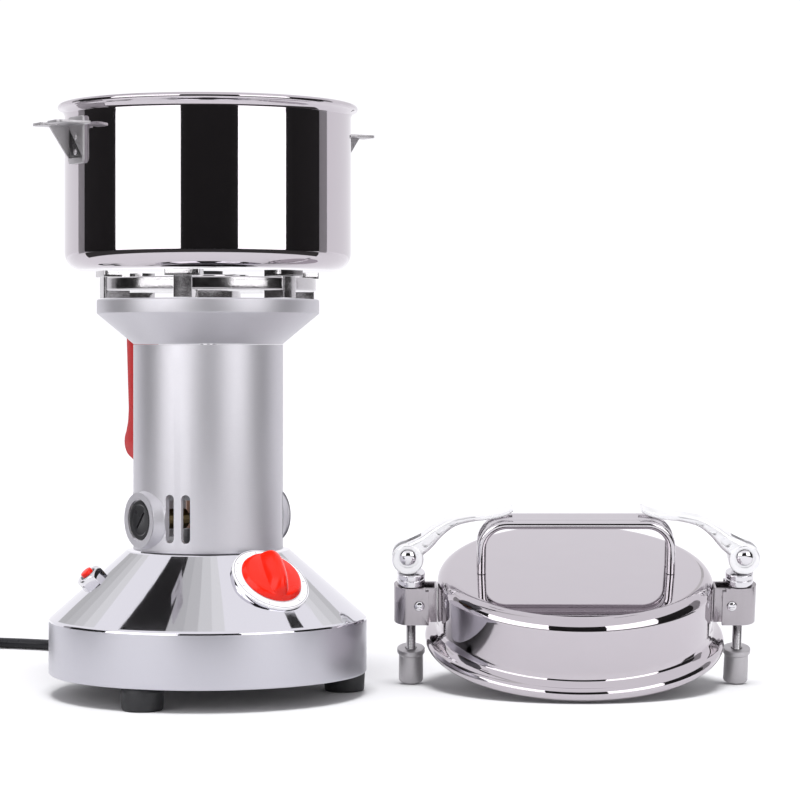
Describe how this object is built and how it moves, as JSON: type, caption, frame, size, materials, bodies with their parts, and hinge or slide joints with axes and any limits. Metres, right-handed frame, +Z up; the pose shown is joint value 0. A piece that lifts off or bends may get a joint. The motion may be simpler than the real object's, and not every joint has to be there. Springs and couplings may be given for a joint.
{
  "type": "hammer mill",
  "caption": "Bench hammer mill: round base with timer knob, motor column, steel grinding bowl with blades, and a lift-off lid with toggle clamps.",
  "frame": {"origin": "centre of the base plate's underside, on the motor's axis, 13.2 mm above the worktop", "axes": "+Z up along the motor's axis, -Y to the front with the timer knob, +X to the right brush cap; the lid lies at front right"},
  "size_m": [0.3988, 0.5324, 0.3526],
  "materials": {
    "silver_paint": "smooth metallic silver paint",
    "polished_stainless": "mirror-polished stainless steel",
    "stainless_sheet": "brushed stainless sheet",
    "cast_aluminium": "satin cast aluminium",
    "chromed_steel": "bright chrome",
    "steel": "machined steel",
    "laminated_iron": "varnished laminations",
    "copper": "varnished copper",
    "brass": "machined brass",
    "carbon": "pressed carbon",
    "black_rubber": "matt black rubber",
    "black_plastic": "satin black plastic",
    "red_plastic": "glossy red plastic",
    "dial_foil": "printed aluminium",
    "white_silicone": "soft white silicone"
  },
  "bodies": {
    "machine": {"base_shell": "silver_paint", "base_plate": "steel", "foot_front_left": "black_rubber", "foot_front_right": "black_rubber", "foot_rear": "black_rubber", "motor_column": "silver_paint", "flare_collar": "silver_paint", "top_bracket": "cast_aluminium", "grinding_bowl": "polished_stainless", "bowl_catch_left": "stainless_sheet", "bowl_catch_right": "stainless_sheet", "brush_cap_left": "black_plastic", "brush_cap_right": "black_plastic", "brush_holder_left": "brass", "brush_holder_right": "brass", "carbon_brush_left": "carbon", "carbon_brush_right": "carbon", "stator": "laminated_iron", "upper_bearing": "steel", "lower_bearing": "steel", "lower_bearing_plate": "cast_aluminium", "shaft_seal": "black_rubber", "rear_handle": "red_plastic", "timer_body": "black_plastic", "dial_plate": "dial_foil", "breaker_body": "black_plastic", "breaker_nut": "chromed_steel", "cord_gland": "black_plastic", "cord_lead": "black_plastic", "cord_coil": "black_plastic", "cord_plug": "black_plastic"},
    "rotor": {"motor_shaft": "steel", "armature": "copper", "commutator": "copper", "cooling_fan": "black_plastic", "lower_blade": "stainless_sheet", "upper_blade": "stainless_sheet", "blade_spacer": "stainless_sheet", "blade_nut": "stainless_sheet"},
    "timer_knob": {"timer_knob": "red_plastic"},
    "reset_button": {"reset_button": "red_plastic"},
    "lid": {"lid_shell": "polished_stainless", "lid_gasket": "white_silicone", "lid_handle": "chromed_steel", "clamp_bracket_left": "stainless_sheet", "clamp_bracket_right": "stainless_sheet", "clamp_rivet_left": "steel", "clamp_rivet_right": "steel"},
    "clamp_block_right": {"clamp_block_right": "stainless_sheet", "clamp_seat_right": "chromed_steel"},
    "clamp_bolt_right": {"clamp_bolt_right": "steel"},
    "clamp_lever_right": {"clamp_lever_right": "cast_aluminium", "lever_pin_right": "chromed_steel"},
    "clamp_nut_right": {"clamp_nut_right": "stainless_sheet"},
    "clamp_block_left": {"clamp_block_left": "stainless_sheet", "clamp_seat_left": "chromed_steel"},
    "clamp_bolt_left": {"clamp_bolt_left": "steel"},
    "clamp_lever_left": {"clamp_lever_left": "cast_aluminium", "lever_pin_left": "chromed_steel"},
    "clamp_nut_left": {"clamp_nut_left": "stainless_sheet"}
  },
  "joints": [
    {"name": "rotor_spin", "type": "hinge", "parent": "machine", "child": "rotor", "pos_m": [0, 0, 0.2], "axis": [0, 0, 1], "continuous": true},
    {"name": "timer_knob_turn", "type": "hinge", "parent": "machine", "child": "timer_knob", "pos_m": [0, -0.0655, 0.05808], "axis": [0, -0.6591, 0.7521], "range_deg": [-300, 0]},
    {"name": "reset_button_press", "type": "slide", "parent": "machine", "child": "reset_button", "axis": [0.6422, -0.1483, -0.7521], "range_m": [0, 0.002], "stiffness_N_per_m": 800, "springref_m": -0.0005},
    {"name": "lid_lift", "type": "slide", "parent": "machine", "child": "lid", "axis": [0, 0, 1], "range_m": [0, 0.35]},
    {"name": "clamp_right_swing", "type": "hinge", "parent": "lid", "child": "clamp_block_right", "pos_m": [0.27049, -0.16739, 0.03898], "axis": [-0.5768, -0.7654, -0.2853], "range_deg": [0, 16]},
    {"name": "clamp_right_bolt", "type": "slide", "parent": "clamp_block_right", "child": "clamp_bolt_right", "axis": [-0.1717, -0.2279, 0.9584], "range_m": [-0.0012, 0]},
    {"name": "clamp_right_lever", "type": "hinge", "parent": "clamp_bolt_right", "child": "clamp_lever_right", "pos_m": [0.27084, -0.17855, 0.06821], "axis": [0.5768, 0.7654, 0.2853], "range_deg": [0, 110]},
    {"name": "clamp_right_nut", "type": "slide", "parent": "clamp_bolt_right", "child": "clamp_nut_right", "axis": [-0.1717, -0.2279, 0.9584], "range_m": [0, 0.009]},
    {"name": "clamp_left_swing", "type": "hinge", "parent": "lid", "child": "clamp_block_left", "pos_m": [0.11875, -0.05305, 0.03898], "axis": [0.5768, 0.7654, 0.2853], "range_deg": [0, 16]},
    {"name": "clamp_left_bolt", "type": "slide", "parent": "clamp_block_left", "child": "clamp_bolt_left", "axis": [-0.1717, -0.2279, 0.9584], "range_m": [-0.0012, 0]},
    {"name": "clamp_left_lever", "type": "hinge", "parent": "clamp_bolt_left", "child": "clamp_lever_left", "pos_m": [0.10792, -0.05578, 0.06821], "axis": [-0.5768, -0.7654, -0.2853], "range_deg": [0, 110]},
    {"name": "clamp_left_nut", "type": "slide", "parent": "clamp_bolt_left", "child": "clamp_nut_left", "axis": [-0.1717, -0.2279, 0.9584], "range_m": [0, 0.009]}
  ],
  "couplings": [
    {"joint": "clamp_right_swing", "follows": "clamp_right_bolt", "rad_per_m": -232.7},
    {"joint": "clamp_right_lever", "follows": "clamp_right_bolt", "rad_per_m": -1599.8},
    {"joint": "clamp_left_swing", "follows": "clamp_left_bolt", "rad_per_m": -232.7},
    {"joint": "clamp_left_lever", "follows": "clamp_left_bolt", "rad_per_m": -1599.8}
  ]
}
